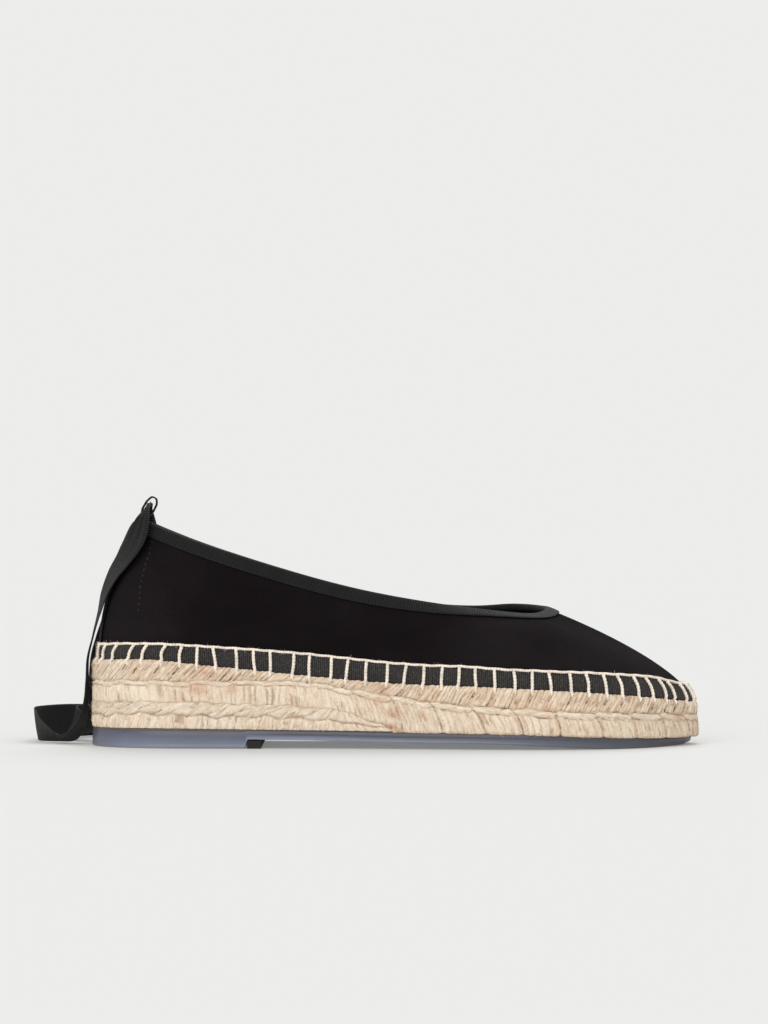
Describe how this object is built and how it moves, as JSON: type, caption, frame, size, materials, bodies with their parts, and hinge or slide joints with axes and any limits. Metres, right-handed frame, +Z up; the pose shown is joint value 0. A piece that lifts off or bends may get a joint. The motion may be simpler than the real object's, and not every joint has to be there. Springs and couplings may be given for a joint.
{
  "type": "ballet flat with braided jute platform sole and ankle ties",
  "caption": "Right-foot ballet flat in black suede on a stitched jute platform with a rubber outsole, bound topline and long ribbon ties at the heel.",
  "frame": {"origin": "on the floor, under the middle of the shoe", "axes": "+X from heel to toe, +Y to the inner side of the foot, +Z up"},
  "size_m": [0.2857, 0.1628, 0.1058],
  "materials": {
    "suede": "black suede with a short soft nap",
    "grosgrain": "black ribbed grosgrain ribbon",
    "woven_band": "black woven tape with upright ribs",
    "jute": "natural braided jute, dry and fibrous, with cream cotton stitching",
    "clear_rubber": "translucent blue-grey rubber, satin",
    "black_rubber": "matte black rubber",
    "insole_lining": "thin black leather sock"
  },
  "bodies": {
    "root": {"outsole": "clear_rubber", "heel_bar": "black_rubber", "jute_wedge": "jute", "jute_midsole": "jute", "insole": "insole_lining", "upper": "suede", "foxing_band": "woven_band", "topline_binding": "grosgrain", "back_strip": "suede", "ribbon_loop": "grosgrain", "outer_tie": "grosgrain", "inner_tie": "grosgrain"}
  },
  "joints": []
}
